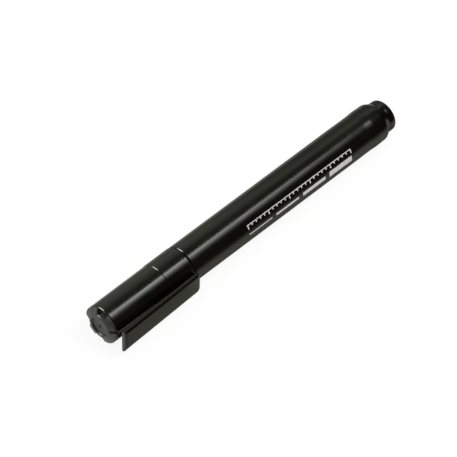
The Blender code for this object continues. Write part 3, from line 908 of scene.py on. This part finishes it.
def moulding_marks_group():
    """What moulding and handling leave on plastic: ripples, grain, scratches along the pen and smudges."""
    group = bpy.data.node_groups.new("moulding_marks", "ShaderNodeTree")
    for name, scale in (("Ripple Scale", RIPPLE_SCALE), ("Grain Scale", GRAIN_SCALE)):
        socket = group.interface.new_socket(name, in_out="INPUT", socket_type="NodeSocketFloat")
        socket.default_value = scale
    for name in ("Ripple", "Grain", "Scratches", "Smudges"):
        group.interface.new_socket(name, in_out="OUTPUT", socket_type="NodeSocketFloat")
    nodes, links = group.nodes, group.links
    scales = nodes.new("NodeGroupInput").outputs
    result = nodes.new("NodeGroupOutput").inputs
    spot = place_on_piece(nodes)
    ripple = noise(nodes, links, spot, Scale=scales["Ripple Scale"], Detail=1.5, Roughness=0.4)
    links.new(ripple, result["Ripple"])
    grain = noise(nodes, links, spot, Scale=scales["Grain Scale"], Detail=2)
    links.new(grain, result["Grain"])
    along_pen = stretched(nodes, links, spot, SCRATCH_SCALE, SCRATCH_TURN)
    lines = noise(nodes, links, along_pen, Scale=1, Detail=3)
    links.new(share_between(nodes, links, lines, *SCRATCH_RANGE), result["Scratches"])
    cloud = noise(nodes, links, spot, Scale=SMUDGE_SCALE, Detail=4, Distortion=0.6)
    links.new(share_between(nodes, links, cloud, *SMUDGE_RANGE), result["Smudges"])
    return group


def marks_on(nodes, marks):
    """The outputs of the marks, in one material."""
    node = nodes.new("ShaderNodeGroup")
    node.node_tree = marks
    return node.outputs


def black_plastic(name, marks, deep, worn, dullness, bump_terms, bump_distance):
    """Moulded black plastic: smudges vary its colour from deep to worn. Its dullness is a base with weights
    for smudges and scratches, and its bumps are weighted marks."""
    material, nodes, links = new_material(name)
    shader = nodes["Principled BSDF"].inputs
    surface = marks_on(nodes, marks)
    links.new(mixed(nodes, links, surface["Smudges"], deep, worn), shader["Base Color"])
    base, smudge_weight, scratch_weight = dullness
    terms = [(surface["Smudges"], smudge_weight), (surface["Scratches"], scratch_weight)]
    links.new(weighted_sum(nodes, links, base, terms), shader["Roughness"])
    height = weighted_sum(nodes, links, 0.0, [(surface[mark], weight) for mark, weight in bump_terms])
    links.new(bumps(nodes, links, height, 1, bump_distance), shader["Normal"])
    return material


def felt(name, dark, pale, fibre_scale):
    """Bonded fibre: strands along the pen, darker between them."""
    material, nodes, links = new_material(name)
    shader = nodes["Principled BSDF"].inputs
    along_pen = stretched(nodes, links, place_on_piece(nodes), fibre_scale)
    strands = noise(nodes, links, along_pen, Scale=1, Detail=5)
    links.new(mixed(nodes, links, strands, dark, pale), shader["Base Color"])
    shader["Roughness"].default_value = 0.85
    shader["Sheen Weight"].default_value = 0.15
    relief = bumps(nodes, links, strands, FELT_BUMP_STRENGTH, FELT_BUMP_DISTANCE)
    links.new(relief, shader["Normal"])
    return material


def waxy_plastic(name, marks):
    material, nodes, links = new_material(name)
    shader = nodes["Principled BSDF"].inputs
    surface = marks_on(nodes, marks)
    links.new(mixed(nodes, links, surface["Smudges"], WAX_CLEAN, WAX_SMUDGED), shader["Base Color"])
    dullness = weighted_sum(nodes, links, WAX_DULLNESS, [(surface["Grain"], WAX_GRAIN_WEIGHT)])
    links.new(dullness, shader["Roughness"])
    shader["Subsurface Weight"].default_value = 0.3
    shader["Subsurface Radius"].default_value = WAX_DEPTHS
    return material


def print_ink(name):
    """White ink with specks where it is thin."""
    material, nodes, links = new_material(name)
    shader = nodes["Principled BSDF"].inputs
    specks = noise(nodes, links, place_on_piece(nodes), Scale=INK_SPECK_SCALE, Detail=3)
    cover = share_between(nodes, links, specks, *INK_SPECK_RANGE)
    links.new(mixed(nodes, links, cover, INK_THIN, INK_FULL), shader["Base Color"])
    shader["Roughness"].default_value = 0.45
    return material


def clear_film(name, marks):
    material, nodes, links = new_material(name)
    shader = nodes["Principled BSDF"].inputs
    shader["Base Color"].default_value = FILM_COLOR
    shader["Alpha"].default_value = 0.4
    surface = marks_on(nodes, marks)
    dullness = weighted_sum(nodes, links, FILM_DULLNESS, [(surface["Smudges"], FILM_SMUDGE_WEIGHT)])
    links.new(dullness, shader["Roughness"])
    return material


def dress_hidden_nodes(fibre, film):
    for node, material in (("ink_reservoir", fibre), ("reservoir_wrap", film)):
        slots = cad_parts[node].data.materials
        slots.clear()
        slots.append(material)


# Camera: it looks down on the pen from the cap's end, turned so that the pen rises across the picture
VIEW_FROM_AXIS = math.radians(60.874)
VIEW_ROUND_AXIS = math.radians(57.9)
VIEW_DISTANCE = 1.5
VIEW_ALONG = -6.56 * MM
VIEW_DOWN = -0.47 * MM
PICTURE_RISE = 0.5981
PICTURE_RUN = 0.8014
VIEW_ROLL = math.atan2(PICTURE_RISE, PICTURE_RUN)
VIEW_REACH = 100
FOCAL_PIXELS = 4441.04
IMAGE_PIXELS = 457
SENSOR_MM = 36

# Light: a soft box over the clip's side, which lights the matt surfaces, and a window behind the cap's end,
# which only the gloss sees. Lamps are given as place, aim, width, height, watts and colour.
SOFT_BOX = ((0.158, -0.178, 0.425), (-0.02, 0.0, 0.012), 0.20, 0.16, 0.62, (1.0, 1.02, 0.95))
WINDOW = ((-0.30, 0.56, 0.66), (0.0, 0.0, 0.01), 0.30, 0.50, 8.0, (1.0, 1.0, 0.97))
AMBIENT = (0.55, 0.55, 0.55)

# The floor lies just under the pen. The camera sees it mostly as plain white, and partly as it is lit.
FLOOR_SIZE = 8.0
FLOOR_CLEARANCE = 0.02 * MM
FLOOR_COLOR = (0.82, 0.82, 0.82, 1)
FLOOR_SEEN_SHARE = 0.82
FLOOR_SEEN_STRENGTH = 1.1

# What the gloss mirrors. The room goes by the angle round the pen from the clip's side, in degrees: dark on
# the camera's side, dim overhead and pale behind.
ROOM_TONES = (
    (46, (0.060, 0.036, 0.026)),
    (84, (0.135, 0.143, 0.095)),
    (104, (0.15, 0.158, 0.108)),
    (121, (0.45, 0.46, 0.36)),
    (154, (0.66, 0.67, 0.55)),
    (172, (0.50, 0.51, 0.42)),
)
# Panels along the pen that only the gloss sees: the wall behind and the soft box's glowing face, brightest at
# its top. Each is given as its low and high edge, start and width along the pen, tones by height in metres
# before the cap and before the tail, where the one passes into the other, how far that moves on for each
# metre of height, and strength.
WALL_TONES = (
    (0.0, (0.41, 0.42, 0.34)),
    (0.062, (0.47, 0.48, 0.39)),
    (0.122, (0.66, 0.67, 0.54)),
    (0.225, (0.64, 0.65, 0.52)),
    (0.416, (0.45, 0.46, 0.36)),
    (0.726, (0.20, 0.21, 0.15)),
    (1.0, (0.17, 0.18, 0.12)),
)
TAIL_WALL_TONES = (
    (0.0, (0.18, 0.185, 0.15)),
    (0.122, (0.23, 0.24, 0.19)),
    (0.20, (0.31, 0.32, 0.25)),
    (0.33, (0.64, 0.66, 0.52)),
    (0.45, (0.60, 0.62, 0.49)),
    (0.60, (0.49, 0.51, 0.38)),
    (0.80, (0.26, 0.27, 0.20)),
    (1.0, (0.13, 0.14, 0.10)),
)
WALL = ((0.25, 0.0), (0.25, 1.0), -0.08, 0.9, WALL_TONES, TAIL_WALL_TONES, (0.05, 0.135), 0.475, 1.0)
BOX_FACE_TONES = (
    (0.292, (0.0, 0.0, 0.0)),
    (0.336, (0.024, 0.0244, 0.0227)),
    (0.359, (0.11, 0.112, 0.104)),
    (0.382, (0.32, 0.325, 0.302)),
    (0.405, (0.63, 0.639, 0.595)),
    (0.427, (1, 1.01, 0.945)),
    (0.4526, (1.05, 1.07, 0.992)),
)
NO_TONES = ((0.292, (0.0, 0.0, 0.0)), (0.4526, (0.0, 0.0, 0.0)))
BOX_FACE = ((-0.369, 0.292), (-0.0945, 0.4526), -0.05, 0.40, BOX_FACE_TONES, NO_TONES, (0.205, 0.335), 0, 7.4)
# The floor as the gloss mirrors it is a painted glow that goes by its place beside the pen, in millimetres:
# dark on the camera's side, then pale, then a painted shadow of the pen. Its tones differ at the barrel, at
# the cap, beyond the cap's end and further out. They span this width in all, and the edges between them are
# places along the pen, in metres.
FLOOR_TONE_SPAN = 160.0
FAR_END_EDGE = (-0.092, -0.082)
END_FLOOR_EDGE = (-0.070, -0.065)
CAP_FLOOR_EDGE = (-0.034, -0.024)
FLOOR_TONES = (
    (-48, (0.080, 0.052, 0.040)),
    (-31, (0.25, 0.205, 0.17)),
    (-19, (0.58, 0.58, 0.49)),
    (-11, (0.54, 0.55, 0.46)),
    (-7, (0.28, 0.28, 0.23)),
    (-5, (0.16, 0.16, 0.13)),
    (14, (0.16, 0.16, 0.13)),
    (30, (0.44, 0.45, 0.37)),
)
CAP_FLOOR_TONES = (
    (-48, (0.040, 0.026, 0.018)),
    (-31, (0.10, 0.08, 0.06)),
    (-18, (0.30, 0.30, 0.24)),
    (-10, (0.36, 0.36, 0.29)),
    (-6, (0.30, 0.30, 0.25)),
    (-2, (0.70, 0.72, 0.62)),
    (20, (0.74, 0.76, 0.66)),
    (36, (0.44, 0.45, 0.37)),
)
END_FLOOR_TONES = (
    (-48, (0.05, 0.04, 0.03)),
    (-26, (0.50, 0.50, 0.42)),
    (-14, (1.10, 1.12, 1.0)),
    (-1, (0.94, 0.97, 0.86)),
    (36, (0.86, 0.90, 0.79)),
)
FAR_END_FLOOR_TONES = (
    (-48, (0.05, 0.04, 0.03)),
    (0, (0.05, 0.045, 0.035)),
    (14, (1.1, 1.12, 1.0)),
    (30, (1.7, 1.74, 1.55)),
)
# Towards the tail, what the gloss mirrors of the floor and of the room darkens to this share. The floor's
# range is along the pen, in metres, and the room's goes by direction.
TAIL_SIDE_DARK = 0.12
TAIL_SIDE_FLOOR = (0.09, 0.2)
TAIL_SIDE_ROOM = (0.66, 0.95)


def make_camera():
    across = Vector((0, -math.cos(VIEW_ROUND_AXIS), math.sin(VIEW_ROUND_AXIS)))
    down = Vector((0, -math.sin(VIEW_ROUND_AXIS), -math.cos(VIEW_ROUND_AXIS)))
    along = Vector((1, 0, 0))
    towards = -math.cos(VIEW_FROM_AXIS) * along + math.sin(VIEW_FROM_AXIS) * across
    right = math.sin(VIEW_FROM_AXIS) * along + math.cos(VIEW_FROM_AXIS) * across
    aim = Vector((0, AXIS_Y, AXIS_Z)) + right * VIEW_ALONG + down * VIEW_DOWN
    camera_x = math.cos(VIEW_ROLL) * right + math.sin(VIEW_ROLL) * down
    camera_y = math.sin(VIEW_ROLL) * right - math.cos(VIEW_ROLL) * down
    data = bpy.data.cameras.new("camera")
    data.sensor_width = SENSOR_MM
    data.lens = FOCAL_PIXELS / IMAGE_PIXELS * SENSOR_MM
    data.clip_end = VIEW_REACH
    camera = bpy.data.objects.new("camera", data)
    bpy.context.scene.collection.objects.link(camera)
    turn = Matrix((camera_x, camera_y, towards)).transposed().to_4x4()
    camera.matrix_world = Matrix.Translation(aim + towards * VIEW_DISTANCE) @ turn
    bpy.context.scene.camera = camera


def make_lamp(name, place_at, aim, width, height, watts, color, lights_gloss):
    data = bpy.data.lights.new(name, "AREA")
    data.shape = "RECTANGLE"
    data.size, data.size_y = width, height
    data.energy = watts
    data.color = color
    lamp = bpy.data.objects.new(name, data)
    bpy.context.scene.collection.objects.link(lamp)
    away = (Vector(place_at) - Vector(aim)).normalized()
    side = Vector((1, 0, 0))
    side = (side - away * side.dot(away)).normalized()
    turn = Matrix((side, away.cross(side), away)).transposed().to_4x4()
    lamp.matrix_world = Matrix.Translation(place_at) @ turn
    lamp.visible_camera = False
    lamp.visible_diffuse = not lights_gloss
    lamp.visible_glossy = lights_gloss


def make_floor():
    deselect()
    bpy.ops.mesh.primitive_plane_add(size=FLOOR_SIZE, location=(0, 0, -FLOOR_CLEARANCE))
    floor = bpy.context.object
    floor.name = "floor"
    material, nodes, links = new_material("pale_floor")
    nodes.remove(nodes["Principled BSDF"])
    light_path = nodes.new("ShaderNodeLightPath")
    matte = nodes.new("ShaderNodeBsdfDiffuse")
    matte.inputs["Color"].default_value = FLOOR_COLOR
    white = nodes.new("ShaderNodeEmission")
    white.inputs["Color"].default_value = (1, 1, 1, 1)
    white.inputs["Strength"].default_value = FLOOR_SEEN_STRENGTH
    seen = nodes.new("ShaderNodeMixShader")
    by_camera = maths(nodes, links, "MULTIPLY", light_path.outputs["Is Camera Ray"], FLOOR_SEEN_SHARE)
    links.new(by_camera, seen.inputs["Fac"])
    links.new(matte.outputs[0], seen.inputs[1])
    links.new(white.outputs[0], seen.inputs[2])

    spot = place_on_stage(nodes, links)
    beside = maths(nodes, links, "MULTIPLY", spot["Y"], 1 / (FLOOR_TONE_SPAN * MM))
    across = maths(nodes, links, "ADD", beside, 0.5)
    tones = []
    for stops in (FAR_END_FLOOR_TONES, END_FLOOR_TONES, CAP_FLOOR_TONES, FLOOR_TONES):
        ramp = tone_ramp(nodes, [(0.5 + y / FLOOR_TONE_SPAN, color) for y, color in stops])
        links.new(across, ramp.inputs["Fac"])
        tones.append(ramp.outputs["Color"])
    tone = tones[0]
    for edge, next_tone in zip((FAR_END_EDGE, END_FLOOR_EDGE, CAP_FLOOR_EDGE), tones[1:]):
        tone = mixed(nodes, links, eased(nodes, links, spot["X"], *edge, 0, 1), tone, next_tone)
    before_tail = eased(nodes, links, spot["X"], *TAIL_SIDE_FLOOR, 1, TAIL_SIDE_DARK)
    # What the gloss sees of the floor is painted: it glows in these tones, with the pen's shadow painted in
    mirrored = nodes.new("ShaderNodeEmission")
    links.new(scaled(nodes, links, tone, before_tail), mirrored.inputs["Color"])
    choose = nodes.new("ShaderNodeMixShader")
    links.new(light_path.outputs["Is Glossy Ray"], choose.inputs["Fac"])
    links.new(seen.outputs[0], choose.inputs[1])
    links.new(mirrored.outputs[0], choose.inputs[2])
    links.new(choose.outputs[0], nodes["Material Output"].inputs["Surface"])
    floor.data.materials.append(material)


def make_panel(name, low, high, start, width, cap_tones, tail_tones, edge, skew, strength):
    """A panel along the pen that only the gloss sees, between two (y, z) edges. Its tones go by height."""
    deselect()
    rise, depth = high[1] - low[1], high[0] - low[0]
    bpy.ops.mesh.primitive_plane_add(
        size=1,
        location=(start + width / 2, (low[0] + high[0]) / 2, (low[1] + high[1]) / 2),
        rotation=(math.atan2(rise, depth), 0, 0),
    )
    panel = bpy.context.object
    panel.name = name
    panel.scale = (width, math.hypot(rise, depth), 1)
    settle()
    material, nodes, links = new_material(name)
    nodes.remove(nodes["Principled BSDF"])
    spot = place_on_stage(nodes, links)
    share = maths(nodes, links, "SUBTRACT", spot["Z"], low[1])
    height_share = maths(nodes, links, "DIVIDE", share, rise)
    tones = []
    for stops in (cap_tones, tail_tones):
        ramp = tone_ramp(nodes, [((height - low[1]) / rise, color) for height, color in stops])
        links.new(height_share, ramp.inputs["Fac"])
        tones.append(ramp.outputs["Color"])
    mirrored = nodes.new("ShaderNodeEmission")
    mirrored.inputs["Strength"].default_value = strength
    moved_on = maths(nodes, links, "MULTIPLY", spot["Z"], skew)
    before_tail = eased(nodes, links, maths(nodes, links, "SUBTRACT", spot["X"], moved_on), *edge, 0, 1)
    links.new(mixed(nodes, links, before_tail, *tones), mirrored.inputs["Color"])
    links.new(mirrored.outputs[0], nodes["Material Output"].inputs["Surface"])
    panel.data.materials.append(material)
    panel.visible_camera = False
    panel.visible_diffuse = False
    panel.visible_shadow = False


def make_world():
    world = bpy.data.worlds.new("studio")
    bpy.context.scene.world = world
    world.use_nodes = True
    nodes, links = world.node_tree.nodes, world.node_tree.links
    light_path = nodes.new("ShaderNodeLightPath")
    direction = nodes.new("ShaderNodeTexCoord")
    split = nodes.new("ShaderNodeSeparateXYZ")
    links.new(direction.outputs["Generated"], split.inputs[0])
    forward = maths(nodes, links, "MULTIPLY", split.outputs["Y"], -1)
    turn = maths(nodes, links, "ARCTAN2", split.outputs["Z"], forward)
    tones = tone_ramp(nodes, [(degrees / 180, color) for degrees, color in ROOM_TONES])
    links.new(maths(nodes, links, "DIVIDE", turn, math.pi), tones.inputs["Fac"])
    before_tail = eased(nodes, links, split.outputs["X"], *TAIL_SIDE_ROOM, 1, TAIL_SIDE_DARK)
    room = scaled(nodes, links, tones.outputs["Color"], before_tail)
    lit = mixed(nodes, links, light_path.outputs["Is Glossy Ray"], AMBIENT, room)
    seen = mixed(nodes, links, light_path.outputs["Is Camera Ray"], lit, (1, 1, 1))
    links.new(seen, nodes["Background"].inputs["Color"])


marks_group = moulding_marks_group()
gloss_black = black_plastic(
    "gloss_black_plastic",
    marks_group,
    deep=(0.0022, 0.0020, 0.0018),
    worn=(0.0040, 0.0037, 0.0033),
    dullness=(0.17, 0.06, 0.12),
    bump_terms=(("Ripple", 1.0), ("Scratches", -0.04)),
    bump_distance=0.02 * MM,
)
satin_black = black_plastic(
    "satin_black_plastic",
    marks_group,
    deep=(0.022, 0.023, 0.020),
    worn=(0.032, 0.033, 0.029),
    dullness=(0.40, 0.1, 0.1),
    bump_terms=(("Grain", 1.0),),
    bump_distance=0.012 * MM,
)
natural_seal = waxy_plastic("natural_polyethylene", marks_group)
inked_felt = felt("inked_felt", (0.004, 0.004, 0.005), (0.022, 0.021, 0.025), (500, 6000, 6000))
core_fibre = felt("reservoir_fibre", (0.02, 0.02, 0.024), (0.16, 0.16, 0.17), (120, 4000, 4000))
wrap_film = clear_film("clear_film", marks_group)
white_ink = print_ink("white_print_ink")

barrel_piece(gloss_black)
tail_plug_piece(gloss_black)
front_section_piece(satin_black)
nib_piece(inked_felt)
cap_piece(gloss_black)
clip_piece(gloss_black)
crown_plug_piece(satin_black)
seal_cup_piece(natural_seal)
barrel_print(white_ink)
dress_hidden_nodes(core_fibre, wrap_film)

make_camera()
make_lamp("soft_box", *SOFT_BOX, lights_gloss=False)
make_lamp("window", *WINDOW, lights_gloss=True)
make_floor()
make_panel("wall", *WALL)
make_panel("soft_box_face", *BOX_FACE)
make_world()
bpy.context.scene.view_settings.view_transform = "Standard"
